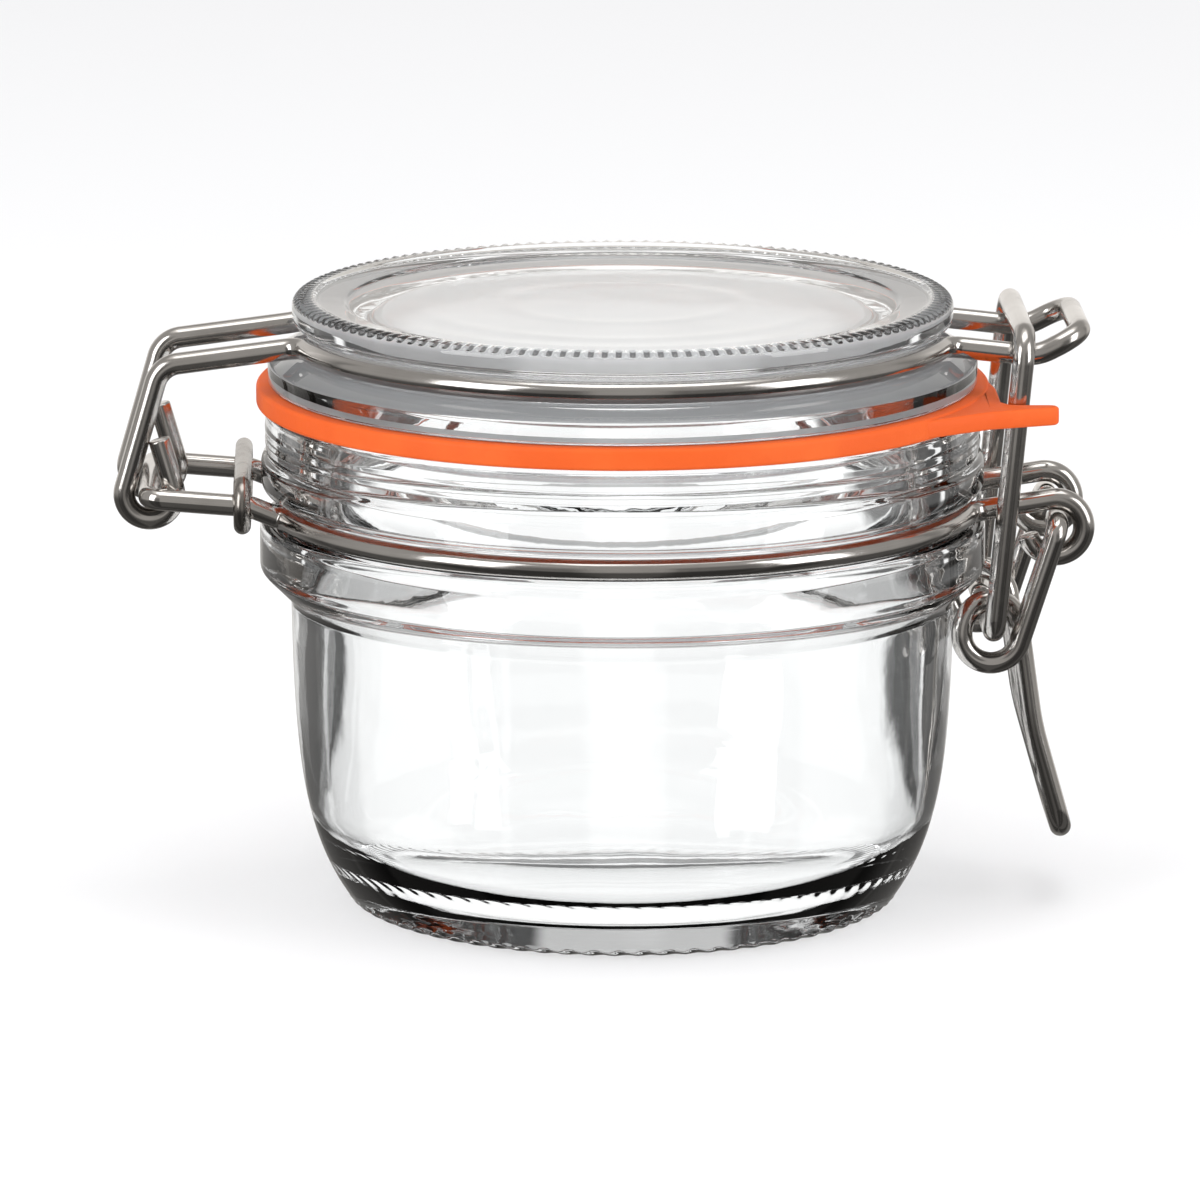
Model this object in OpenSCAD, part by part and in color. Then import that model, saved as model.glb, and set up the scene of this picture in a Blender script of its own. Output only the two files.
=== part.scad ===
// Bail clamp jar: a small glass preserving jar with a glass lid, a rubber
// gasket and an over-centre wire closure. Millimetres, +Z up, origin at the
// middle of the foot. The hinge is at -X and the latch is at +X.

/* [Glass body] */
// Height of the glass body to its rim
body_h = 55.9; // [55.5:0.1:56]
// Outside radius of the straight wall
body_r = 36.9; // [36.6:0.1:37.4]
// Outside radius of the shoulder ring under the collar wire
shoulder_r = 40.2; // [39.6:0.1:41]
// Outside radius of the ring above the collar wire
neck_r = 40.0; // [39.6:0.1:41]
// Outside radius of the lip
lip_r = 39.5; // [39:0.1:40]
// Inside radius of the body and its mouth
mouth_r = 33.2; // [32.8:0.1:33.6]
// Thickness of the floor
floor_t = 4.0; // [3.6:0.1:5]
// Outside radius of the bearing ring that the jar stands on
foot_r = 28.0; // [27:0.1:28.6]
// How far the wall draws in at the foot
flare = 7.0; // [6:0.1:7.2]
// Height over which the wall draws in
flare_h = 8.5; // [8:0.1:9]

/* [Lid] */
// Outside radius of the flange that presses on the gasket
flange_r = 39.2; // [38.8:0.1:39.4]
// Outside radius of the rim above the lid wire
rim_r = 36.5; // [36.2:0.1:36.9]
// Outside radius of the plug that enters the mouth
plug_r = 31.4; // [30.8:0.1:31.5]
// How far the plug reaches below the flange
plug_h = 5.5; // [4:0.1:5.6]
// Height of the lid from its flange to its top face
lid_h = 9.55; // [9.4:0.05:9.8]

/* [Gasket] */
// Thickness of the rubber ring
gasket_t = 2.4; // [2.2:0.05:2.45]
// Outside radius of the rubber ring
gasket_r = 40.5; // [39.8:0.1:40.6]
// Inside radius of the rubber ring
gasket_bore_r = 31.7; // [31.6:0.1:32.4]
// Thickness of the pull tab
tab_t = 2.0; // [1.8:0.1:2.2]

/* [Wires] */
// Diameter of the closure wires
wire_d = 2.4; // [2.2:0.1:2.4]
// Diameter of the wire of the hinge clip
clip_wire_d = 1.9; // [1.6:0.1:2]
// Radius of the coil eye in the lever
coil_r = 3.25; // [3.2:0.05:3.4]
// Radius of the collar wire's eye round the lever's stub
eye_r = 3.15; // [3.1:0.05:3.3]
// Radius of the lid wire's hook round the hinge bar
hook_r = 2.75; // [2.7:0.05:2.9]
// Distance of the hinge bar behind the jar's axis
hinge_x = 52.2; // [51.8:0.1:53]
// Height of the hinge bar
hinge_z = 47.4; // [47:0.1:47.8]

/* [Hidden] */
$fn = 40;

GLASS = "LightCyan";
STEEL = "Silver";
RUBBER = "OrangeRed";

gap = 0.1;                       // room left where two pieces seat on each other
wire_r = wire_d / 2;

// collar groove in the neck
collar_z = 44.9;
collar_ring_r = 38.75;
groove_lo = collar_z - wire_r - 0.3;
groove_hi = collar_z + wire_r + 0.3;

// stack of gasket and lid on the rim
gasket_z = body_h + gap;
lid_z = gasket_z + gasket_t + gap / 2;
lid_top = lid_z + lid_h;
lid_ring_r = 36.2;
lid_ring_z = lid_z + 5.25;

// planes of the wires, counted outward from the middle plane
eye_y = 8.0;                     // collar wire's eyes
arm_y = 10.7;                    // lever arms, outside the eyes
handle_y = 8.0;                  // lever handle, inside the coil eyes
tip_y = 7.3;                     // lever handle at its tip
link_y = 13.35;                  // sides of the link, outside the lever
nose_y = 9.2;                    // lid wire's strands under the link
hook_y = 8.1;                    // lid wire's strands on the hinge side
bar_y = 10.8;                    // collar wire's strands on the hinge side

// pivots of the latch, in the X-Z plane
eye_c = [47.45, 43.15];
lever_c = [47.6, 43.75];
coil_c = [40.3, 31.7];
link_c = [40.45, 32.3];
link_top = [43.6, 65.35];
hinge_c = [-hinge_x, hinge_z];

// --- vectors and arcs ---

function unit(v) = v / norm(v);
function heading(a) = [cos(a), 0, sin(a)];
function at(p, y) = [p[0], y, p[1]];
function arc(c, r, a0, a1, n = 6) =
    [for (i = [0:n]) let (a = a0 + (a1 - a0) * i / n) c + r * [cos(a), sin(a)]];
function turn(u, v) = acos(max(-1, min(1, u * v)));

// --- round wire: straights, and bends that draw slightly thinner ---

draw = 0.04;                     // how much thinner a bend is than its straights
lap = 0.05;                      // how far a straight reaches into a bend

// a straight from p to q, longer by the laps at its start and end
module straight(p, q, d = wire_d, laps = [0, 0]) {
    w = unit(q - p);
    u = unit(cross(w, abs(w[1]) < 0.9 ? [0, 1, 0] : [1, 0, 0]));
    v = cross(w, u);
    o = p - w * laps[0];
    multmatrix([
        [u[0], v[0], w[0], o[0]],
        [u[1], v[1], w[1], o[1]],
        [u[2], v[2], w[2], o[2]]
    ]) cylinder(h = norm(q - p) + laps[0] + laps[1], d = d);
}

// a bend that starts at p along u and turns towards n
module bend(p, u, n, r, angle, d = wire_d) {
    c = p + r * n;
    w = cross(-n, u);
    multmatrix([
        [-n[0], u[0], w[0], c[0]],
        [-n[1], u[1], w[1], c[1]],
        [-n[2], u[2], w[2], c[2]]
    ]) rotate_extrude(angle = angle) translate([r, 0]) circle(d = d - draw);
}

// wire through the points, its corners bent to the radii in bends, and its
// first and last straights lapped into what they join
module wire(points, bends, ends = [0, 0], d = wire_d) {
    last = len(points) - 1;
    dirs = [for (i = [0:last - 1]) unit(points[i + 1] - points[i])];
    cuts = [for (i = [0:last]) i == 0 || i == last ? 0 :
        bends[i - 1] * tan(turn(dirs[i - 1], dirs[i]) / 2)];
    for (i = [0:last - 1])
        straight(points[i] + dirs[i] * cuts[i],
            points[i + 1] - dirs[i] * cuts[i + 1], d,
            [i == 0 ? ends[0] : lap, i == last - 1 ? ends[1] : lap]);
    for (i = [1:last - 1]) {
        u = dirs[i - 1];
        side = dirs[i] - u * (u * dirs[i]);
        bend(points[i] - u * cuts[i], u, unit(side), bends[i - 1],
            turn(u, dirs[i]), d);
    }
}

// where a strand at (sx * x, y) leaves a wire ring of radius r
lead = 2.4;
function strand_x(r, y) = sqrt(r * r + lead * lead - y * y);
function leave_angle(r, y) = atan2(y, strand_x(r, y)) + atan(lead / r);
function leave_point(r, y, z, sx) =
    let (a = leave_angle(r, y)) [sx * r * cos(a), r * sin(a), z];
function corner_point(r, y, z, sx) = [sx * strand_x(r, y), y, z];

// half of a wire ring, from the latch side's strand to the hinge side's
module half_ring(r, z, latch_y, hinge_y) {
    a0 = leave_angle(r, latch_y);
    a1 = 180 - leave_angle(r, hinge_y);
    translate([0, 0, z]) rotate([0, 0, a0])
        rotate_extrude(angle = a1 - a0) translate([r, 0]) circle(d = wire_d - draw);
}

module both_sides() {
    children();
    mirror([0, 1, 0]) children();
}

// --- glass body ---

function wall_r(z) = body_r - flare * exp(-z / flare_h);

module jar_body() {
    foot_round = 1.2;
    punt_r = 24.5;
    punt_h = 1.2;
    flank_lo = 34.2;             // where the wall starts to slope out
    ring_lo = 38.2;              // where the shoulder ring's side starts
    ring_edge = 0.8;
    ring_round = 1.2;
    shoulder_top = groove_lo;
    neck_top = 50.8;
    corner_r = 8.5;
    lip_round = 0.6;
    groove_r = collar_ring_r - wire_r - gap;

    underside = [for (i = [0:6]) let (r = punt_r * i / 6)
        [r, punt_h * (1 - pow(r / punt_r, 2))]];
    foot = [for (a = [-90:30:0])
        [foot_r + (wall_r(foot_round) - foot_r) * cos(a), foot_round * (1 + sin(a))]];
    wall = [for (i = [1:12]) let (z = foot_round + (flank_lo - foot_round) * i / 12)
        [wall_r(z), z]];
    flank = concat(
        [[body_r + 0.4, flank_lo + 0.8]],
        arc([shoulder_r - ring_edge, ring_lo], ring_edge, -45, 0, 4)
    );
    ring_c = shoulder_r - ring_round;
    neck_c = neck_r - ring_round;
    outside = concat(
        flank,
        arc([ring_c, shoulder_top - ring_round], ring_round, 0, 90, 5),
        [[groove_r, shoulder_top], [groove_r, groove_hi]],
        arc([neck_c, groove_hi + ring_round], ring_round, -90, 0, 5),
        arc([neck_c, neck_top - ring_round], ring_round, 0, 60, 4),
        [[lip_r, neck_top + 0.6]],
        arc([lip_r - lip_round, body_h - lip_round], lip_round, 0, 90, 4)
    );
    // the inside steps out behind the shoulder ring, so the glass stays even
    inner_swell = [[mouth_r, neck_top], [mouth_r + 0.7, 43], [mouth_r + 2.2, 38],
        [mouth_r + 2.1, 37.2], [mouth_r + 0.2, 34.8], [mouth_r, 33.9]];
    inside = concat(
        arc([mouth_r + lip_round, body_h - lip_round], lip_round, 90, 180, 4),
        inner_swell,
        arc([mouth_r - corner_r, floor_t + corner_r], corner_r, 0, -90, 6),
        [[0, floor_t]]
    );
    color(GLASS) rotate_extrude() polygon(concat(underside, foot, wall, outside, inside));
}

// --- lid ---

module lid() {
    edge = 0.4;
    groove_r = lid_ring_r - wire_r - gap;
    seat_lo = lid_ring_z - wire_r - gap;
    seat_hi = lid_ring_z + wire_r + gap;
    hollow_r = plug_r - 3.5;
    panel_z = lid_top - 0.95;
    crest_r = rim_r - 1.1;
    color(GLASS) rotate_extrude() polygon(concat(
        [for (i = [0:5]) let (r = (hollow_r - 1.2) * i / 5)
            [r, lid_z + 3.2 - 0.8 * pow(i / 5, 2)]],
        [[hollow_r - 0.3, lid_z + 1.2]],
        arc([hollow_r + 0.7, lid_z - plug_h + 0.7], 0.7, 180, 270, 4),
        arc([plug_r - 0.7, lid_z - plug_h + 0.7], 0.7, -90, 0, 4),
        [[plug_r, lid_z]],
        arc([flange_r - edge, lid_z + edge], edge, -90, 0, 3),
        arc([flange_r - edge, lid_z + 2.3], edge, 0, 60, 3),
        [[rim_r + 0.4, seat_lo - 0.2], [groove_r, seat_lo], [groove_r, seat_hi]],
        arc([rim_r - 0.9, seat_hi + 0.9], 0.9, -90, 0, 5),
        arc([rim_r - 1, lid_top - 1], 1, 0, 80, 5),
        [[crest_r - 1.2, lid_top], [crest_r - 1.8, lid_top - 0.3],
            [rim_r - 5.8, panel_z + 0.3], [rim_r - 6.1, panel_z], [0, panel_z]]
    ));
}

// --- gasket ---

module gasket() {
    edge = 0.5;
    z1 = gasket_z + gasket_t;
    lo = gasket_z + (gasket_t - tab_t) / 2;
    // the tab steps round the link's front side, which stands at link_y
    inner = 41.0;
    side = -link_y - wire_r - 0.4;
    color(RUBBER) {
        rotate_extrude() polygon(concat(
            arc([gasket_r - edge, gasket_z + edge], edge, -90, 0, 3),
            arc([gasket_r - edge, z1 - edge], edge, 0, 90, 3),
            arc([gasket_bore_r + edge, z1 - edge], edge, 90, 180, 3),
            arc([gasket_bore_r + edge, gasket_z + edge], edge, 180, 270, 3)
        ));
        translate([0, 0, lo]) linear_extrude(tab_t) polygon([
            [36, 0], [39.8, 4.6], [inner, -4.5], [inner, -13.2], [inner + 1.1, side],
            [46.6, side], [47.2, side - 0.7], [47.0, side - 1.9],
            [39.4, -19.4], [31.2, -25.2], [30, -22]
        ]);
    }
}

// --- lid wire: ring, nose for the link, and hooks round the hinge bar ---

module lid_wire_half(tail) {
    knee = [-50.9, 61.7];
    to_hook = hinge_c - knee;
    fall = atan2(to_hook[1], to_hook[0]) - asin(hook_r / norm(to_hook));
    rise = 106;
    touch = hinge_c + hook_r * [cos(fall - 90), sin(fall - 90)];
    let_go = hinge_c + hook_r * [cos(rise - 90), sin(rise - 90)];
    half_ring(lid_ring_r, lid_ring_z, nose_y, hook_y);
    wire([
        leave_point(lid_ring_r, nose_y, lid_ring_z, 1),
        corner_point(lid_ring_r, nose_y, lid_ring_z, 1),
        [45.2, nose_y, 62.55], [50, nose_y, 65], [50, 0, 65]
    ], [2.6, 5, 3], [lap, 0]);
    wire([
        leave_point(lid_ring_r, hook_y, lid_ring_z, -1),
        corner_point(lid_ring_r, hook_y, lid_ring_z, -1),
        at(knee, hook_y), at(touch, hook_y)
    ], [2.6, 3], [lap, lap]);
    bend(at(touch, hook_y), heading(fall), heading(fall + 90), hook_r,
        rise - fall);
    straight(at(let_go, hook_y), at(let_go, hook_y) + tail * heading(rise),
        laps = [lap, 0]);
}

module lid_wire() {
    color(STEEL) {
        lid_wire_half(6.6);
        mirror([0, 1, 0]) lid_wire_half(5.6);
    }
}

// --- collar wire: ring, hinge bar, and eyes for the lever ---

module collar_wire() {
    climb = 7;
    top = 90 + climb;
    eye_turn = 262;
    start = eye_c + eye_r * [cos(top), sin(top)];
    color(STEEL) both_sides() {
        half_ring(collar_ring_r, collar_z, eye_y, bar_y);
        wire([
            leave_point(collar_ring_r, eye_y, collar_z, 1),
            corner_point(collar_ring_r, eye_y, collar_z, 1),
            at(start, eye_y)
        ], [2.6], [lap, lap]);
        bend(at(start, eye_y), heading(climb), heading(climb - 90), eye_r, eye_turn);
        wire([
            leave_point(collar_ring_r, bar_y, collar_z, -1),
            corner_point(collar_ring_r, bar_y, collar_z, -1),
            [-41.2, bar_y, 46.5], [-hinge_x, bar_y, hinge_z], [-hinge_x, 0, hinge_z]
        ], [1.6, 3, 1.5], [lap, 0]);
    }
}

// --- hinge clip: a flattened ring that holds the collar wire's strands ---

module hinge_clip() {
    clip_x = -42;
    clip_z = 46.7;
    half_h = wire_r + clip_wire_d / 2 + 0.15;
    half_w = bar_y + 0.1;
    color(STEEL) translate([clip_x, 0, clip_z]) both_sides() {
        for (s = [-1, 1])
            straight([0, 0, s * half_h], [0, half_w, s * half_h], clip_wire_d, [0, lap]);
        bend([0, half_w, half_h], [0, 1, 0], [0, 0, -1], half_h, 180, clip_wire_d);
    }
}

// --- lever: stubs in the collar wire's eyes, arms, coil eyes and handle ---

module lever() {
    stub_end = 6.3;
    leave = 8;                   // slope of the coil's face where the handle leaves
    handle_run = 11.4;           // straight of the handle below the coil
    filler = 0.02;               // short straight between the coil's two turns
    to_coil = coil_c - lever_c;
    fall = atan2(to_coil[1], to_coil[0]) + asin(coil_r / norm(to_coil));
    touch = coil_c + coil_r * [cos(fall + 90), sin(fall + 90)];
    wrap = fall + 90 + 180 - leave;
    back = coil_c - coil_r * [cos(leave), sin(leave)];
    front = coil_c + coil_r * [cos(leave), sin(leave)];
    across = at(front, handle_y) - at(back, arm_y);
    bow = front + handle_run * [sin(leave), -cos(leave)];
    tip = [48.6, 8.6];
    color(STEEL) both_sides() {
        wire([at(lever_c, stub_end), at(lever_c, arm_y), at(touch, arm_y)],
            [1.7], [0, lap]);
        bend(at(touch, arm_y), heading(fall), heading(fall - 90), coil_r, wrap);
        straight(at(back, arm_y), at(back, arm_y) + filler * heading(leave + 90),
            laps = [lap, lap]);
        bend(at(back, arm_y), heading(leave + 90), unit(across), norm(across) / 2, 180);
        wire([at(front, handle_y), at(bow, handle_y), at(tip, tip_y), at(tip, 0)],
            [30, 3], [lap, 0]);
    }
}

// --- link: bar over the lid wire's nose, sides, and stubs in the coil eyes ---

module link() {
    stub_end = 6.5;
    color(STEEL) both_sides()
        wire([at(link_top, 0), at(link_top, link_y), at(link_c, link_y),
            at(link_c, stub_end)], [3, 1.7]);
}

jar_body();
lid();
gasket();
lid_wire();
collar_wire();
hinge_clip();
lever();
link();
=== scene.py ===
"""Bail clamp jar: the visible surfaces and finishes, laid over its frame.

Lengths in the classes are millimetres in the frame of the jar: +Z up the axis
of the glass, +X to the latch, -X to the hinge. Meshes are written in metres.
"""

from __future__ import annotations

import logging
import math
from collections.abc import Callable, Mapping, Sequence
from dataclasses import dataclass, field
from enum import Enum

import bpy
import numpy as np
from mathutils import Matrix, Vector


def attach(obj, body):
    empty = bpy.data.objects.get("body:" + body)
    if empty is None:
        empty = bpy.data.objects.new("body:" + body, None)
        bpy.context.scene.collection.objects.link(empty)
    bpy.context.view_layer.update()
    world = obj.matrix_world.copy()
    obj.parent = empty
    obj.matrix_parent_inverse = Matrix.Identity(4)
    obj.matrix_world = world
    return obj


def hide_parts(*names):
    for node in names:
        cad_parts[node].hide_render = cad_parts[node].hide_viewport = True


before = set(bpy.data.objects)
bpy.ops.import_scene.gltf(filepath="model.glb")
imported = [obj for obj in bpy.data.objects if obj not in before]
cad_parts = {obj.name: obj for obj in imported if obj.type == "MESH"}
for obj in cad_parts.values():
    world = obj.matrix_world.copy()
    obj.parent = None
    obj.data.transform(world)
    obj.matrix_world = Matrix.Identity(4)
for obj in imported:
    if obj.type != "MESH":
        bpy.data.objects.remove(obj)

Array = np.ndarray
Relief = Callable[[Array, Array], Array]
log = logging.getLogger("bail_clamp_jar")
MM = 0.001
MIRROR_Y = np.array([1.0, -1.0, 1.0])


# --- arithmetic on nodes ---


@dataclass(frozen=True)
class Value:
    """A number that varies over a surface, used in ordinary arithmetic."""

    bench: Bench
    socket: bpy.types.NodeSocket

    def _math(self, operation: str, first: object, second: object = 0.0) -> Value:
        """Adds one Math node on two operands."""
        settings = {"operation": operation}
        node = self.bench.add("ShaderNodeMath", settings, {0: first, 1: second})
        return Value(self.bench, node.outputs[0])

    def __add__(self, other: object) -> Value:
        """Sum."""
        return self._math("ADD", self, other)

    def __sub__(self, other: object) -> Value:
        """Difference."""
        return self._math("SUBTRACT", self, other)

    def __rsub__(self, other: object) -> Value:
        """Reflected difference."""
        return self._math("SUBTRACT", other, self)

    def __mul__(self, other: object) -> Value:
        """Product."""
        return self._math("MULTIPLY", self, other)

    def __truediv__(self, other: object) -> Value:
        """Quotient."""
        return self._math("DIVIDE", self, other)

    __radd__ = __add__
    __rmul__ = __mul__

    def root(self) -> Value:
        """Square root."""
        return self._math("SQRT", self)

    def cosine(self) -> Value:
        """Cosine of an angle in radians."""
        return self._math("COSINE", self)

    def angle(self, across: Value) -> Value:
        """Angle in radians of the point (across, this value)."""
        return self._math("ARCTAN2", self, across)

    def step(self, low: float, high: float) -> Value:
        """Smooth step from 0 at low to 1 at high; high may be the lower one."""
        settings = {"interpolation_type": "SMOOTHSTEP"}
        node = self.bench.add(
            "ShaderNodeMapRange", settings, {0: self, 1: low, 2: high}
        )
        return Value(self.bench, node.outputs[0])


class Bench:
    """Lays out the nodes of one material or of the world."""

    def __init__(self, tree: bpy.types.NodeTree) -> None:
        """Clears the tree and keeps it.

        Args:
            tree: node tree to fill.
        """
        tree.nodes.clear()
        self.tree = tree

    def add(
        self,
        kind: str,
        settings: Mapping[str, object] | None = None,
        sockets: Mapping[str | int, object] | None = None,
    ) -> bpy.types.Node:
        """Adds any node.

        Args:
            kind: node type, such as ShaderNodeMath.
            settings: properties of the node, set before its sockets.
            sockets: input name or number against a number, colour, Value or
                output socket.

        Returns:
            The new node.
        """
        node = self.tree.nodes.new(kind)
        for name, setting in (settings or {}).items():
            setattr(node, name, setting)
        for name, given in (sockets or {}).items():
            given = given.socket if isinstance(given, Value) else given
            if isinstance(given, bpy.types.NodeSocket):
                self.tree.links.new(given, node.inputs[name])
            else:
                node.inputs[name].default_value = given
        return node

    def value(self, node: bpy.types.Node, output: str | int = 0) -> Value:
        """Wraps an output of a node for arithmetic."""
        return Value(self, node.outputs[output])

    def noise(self, place: object, scale: float, detail: float) -> Value:
        """Fractal noise over a place, from 0 to 1 about a middle of 0.5."""
        sockets = {"Vector": place, "Scale": scale, "Detail": detail}
        return self.value(self.add("ShaderNodeTexNoise", None, sockets))

    def blend(
        self, factor: object, low: Sequence[float], high: Sequence[float]
    ) -> bpy.types.NodeSocket:
        """Colour between two colours by a factor from 0 to 1."""
        settings = {"data_type": "RGBA"}
        node = self.add("ShaderNodeMix", settings, {0: factor, 6: low, 7: high})
        return node.outputs[2]

    def bump(
        self, height: object, strength: float, distance: float
    ) -> bpy.types.NodeSocket:
        """Normal tilted by a height field; distance is in metres."""
        sockets = {"Strength": strength, "Distance": distance, "Height": height}
        return self.add("ShaderNodeBump", None, sockets).outputs[0]


# --- finishes ---


@dataclass(frozen=True)
class PressedGlass:
    """Clear pressed glass with the faint ripple that the mould leaves.

    Satin is a roughness, and clear is the share of light that passes. Teeth
    (count, radius, height) paint shade into the colour of the valleys between
    teeth round the axis, in a band about the radius and above the height, both
    in millimetres, standing in for the dark that the real facets reflect.
    """

    tint: tuple[float, float, float, float] = (0.975, 0.982, 0.985, 1.0)
    ior: float = 1.5
    ripple: float = 0.07
    satin: float = 0.0
    clear: float = 1.0
    teeth: tuple[int, float, float] | None = None
    # Colour of the painted shade laid into the valleys between teeth.
    valley_painted_shade: tuple[float, float, float, float] = (0.1, 0.1, 0.1, 1.0)
    lamp_share: float = 0.86

    def _colour(self, bench: Bench, place: object) -> object:
        """Tint of the glass, with painted shade darkening the valleys between teeth."""
        if self.teeth is None:
            return self.tint
        count, radius, height = self.teeth
        split = bench.add("ShaderNodeSeparateXYZ", None, {0: place})
        x, y, z = (bench.value(split, k) / MM for k in range(3))
        # Painted shade: the mask darkens the colour in the valleys between teeth, in
        # place of the dark that their facets reflect.
        shaded_valley = (y.angle(x) * float(count)).cosine().step(0.1, -0.5)
        reach = (x * x + y * y).root()
        inner = reach.step(radius - 0.75, radius - 0.6)
        band = inner * reach.step(radius + 0.75, radius + 0.6)
        factor = shaded_valley * band * z.step(height, height + 0.1)
        return bench.blend(factor, self.tint, self.valley_painted_shade)

    def material(self, name: str) -> bpy.types.Material:
        """Builds the glass; lamps reach through it as through the real thing.

        Args:
            name: name of the material.

        Returns:
            The material.
        """
        glass = bpy.data.materials.new(name)
        glass.use_nodes = True
        bench = Bench(glass.node_tree)
        place = bench.add("ShaderNodeTexCoord").outputs["Object"]
        swell = bench.noise(place, 55.0, 2.0)
        grain = bench.noise(place, 420.0, 2.0)
        haze = bench.noise(place, 90.0, 4.0)
        body = bench.add(
            "ShaderNodeBsdfPrincipled",
            None,
            {
                "Base Color": self._colour(bench, place),
                "Transmission Weight": self.clear,
                "IOR": self.ior,
                "Roughness": haze.step(0.55, 0.8) * 0.03 + self.satin,
                "Normal": bench.bump(swell + grain * 0.04, self.ripple, 0.002),
            },
        )
        passed = (*[self.lamp_share] * 3, 1.0)
        clear = bench.add("ShaderNodeBsdfTransparent", None, {"Color": passed})
        path = bench.add("ShaderNodeLightPath")
        mixed = bench.add(
            "ShaderNodeMixShader",
            None,
            {0: path.outputs["Is Shadow Ray"], 1: body.outputs[0], 2: clear.outputs[0]},
        )
        bench.add("ShaderNodeOutputMaterial", None, {"Surface": mixed.outputs[0]})
        return glass


@dataclass(frozen=True)
class DrawnSteel:
    """Polished round steel wire with the die's lines along its length."""

    colour: tuple[float, float, float, float] = (0.62, 0.6, 0.58, 1.0)
    shade: tuple[float, float, float, float] = (0.46, 0.44, 0.42, 1.0)
    smooth: float = 0.1
    rough: float = 0.24

    def material(self, name: str) -> bpy.types.Material:
        """Builds the steel from the wire's own lay: length and angle.

        Args:
            name: name of the material.

        Returns:
            The material.
        """
        steel = bpy.data.materials.new(name)
        steel.use_nodes = True
        bench = Bench(steel.node_tree)
        lay = bench.add("ShaderNodeAttribute", {"attribute_name": "lay"})
        place = bench.add("ShaderNodeTexCoord").outputs["Object"]
        drawn_out = {0: lay.outputs["Vector"], 3: (0.06, 7.0, 7.0)}
        long = bench.add("ShaderNodeMapping", None, drawn_out).outputs[0]
        lines = bench.noise(long, 1.0, 4.0)
        spots = bench.noise(place, 700.0, 3.0)
        wear = bench.noise(place, 110.0, 3.0).step(0.35, 0.7)
        span = self.rough - self.smooth
        dull = wear * 0.6 + spots.step(0.5, 0.75) * 0.4
        shading = wear * 0.5 + lines * 0.5
        body = bench.add(
            "ShaderNodeBsdfPrincipled",
            None,
            {
                "Base Color": bench.blend(shading, self.colour, self.shade),
                "Metallic": 1.0,
                "Roughness": self.smooth + dull * span,
                "Normal": bench.bump(lines + spots * 0.3, 0.12, 0.0001),
            },
        )
        bench.add("ShaderNodeOutputMaterial", None, {"Surface": body.outputs[0]})
        return steel


@dataclass(frozen=True)
class MouldedRubber:
    """Matte orange rubber with a fine moulded grain and a little bloom."""

    colour: tuple[float, float, float, float] = (0.74, 0.1, 0.008, 1.0)
    pale: tuple[float, float, float, float] = (0.78, 0.125, 0.016, 1.0)

    def material(self, name: str) -> bpy.types.Material:
        """Builds the rubber.

        Args:
            name: name of the material.

        Returns:
            The material.
        """
        rubber = bpy.data.materials.new(name)
        rubber.use_nodes = True
        bench = Bench(rubber.node_tree)
        place = bench.add("ShaderNodeTexCoord").outputs["Object"]
        bloom = bench.noise(place, 130.0, 4.0).step(0.4, 0.75)
        grain = bench.noise(place, 2600.0, 2.0)
        body = bench.add(
            "ShaderNodeBsdfPrincipled",
            None,
            {
                "Base Color": bench.blend(bloom, self.colour, self.pale),
                "Specular IOR Level": 0.3,
                "Roughness": 0.5 + bloom * 0.12 + grain * 0.08,
                "Normal": bench.bump(grain + bloom * 0.5, 0.25, 0.0001),
            },
        )
        bench.add("ShaderNodeOutputMaterial", None, {"Surface": body.outputs[0]})
        return rubber


# --- outlines, paths and surfaces ---


@dataclass
class Shell:
    """Points and faces of one closed surface, and what its points carry."""

    points: Array
    faces: list[list[int]]
    lay: Array | None = None

    def __add__(self, other: Shell) -> Shell:
        """Two shells as one mesh."""
        shift = len(self.points)
        moved = [[number + shift for number in face] for face in other.faces]
        return Shell(np.vstack([self.points, other.points]), self.faces + moved)

    def piece(self, name: str, material: bpy.types.Material) -> bpy.types.Object:
        """Makes the smooth-shaded object at the origin.

        Args:
            name: name of the object.
            material: its finish.

        Returns:
            The object, linked to the scene.
        """
        mesh = bpy.data.meshes.new(name)
        mesh.from_pydata((self.points * MM).tolist(), [], self.faces)
        mesh.polygons.foreach_set("use_smooth", np.ones(len(mesh.polygons), bool))
        if self.lay is not None:
            carried = mesh.attributes.new("lay", "FLOAT_VECTOR", "POINT")
            carried.data.foreach_set("vector", self.lay.astype(np.float32).ravel())
        mesh.materials.append(material)
        mesh.update()
        made = bpy.data.objects.new(name, mesh)
        bpy.context.scene.collection.objects.link(made)
        return made


@dataclass
class Band:
    """Rows of an outline that are turned with one number of segments."""

    outline: Array
    segments: int
    relief: Relief | None = None


def spokes(angles: Array) -> Array:
    """Cosines and sines of angles in degrees, side by side."""
    turned = np.radians(angles)
    return np.stack([np.cos(turned), np.sin(turned)], axis=-1)


def corner(r: float, z: float, radius: float, first: float, last: float) -> Array:
    """Arc of an outline about (r, z), from one angle to another in degrees."""
    return np.array([r, z]) + radius * spokes(np.linspace(first, last, 10))


def distances(path: Array) -> Array:
    """Length walked along a path up to each of its points."""
    return np.r_[0.0, np.cumsum(np.linalg.norm(np.diff(path, axis=0), axis=1))]


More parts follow.
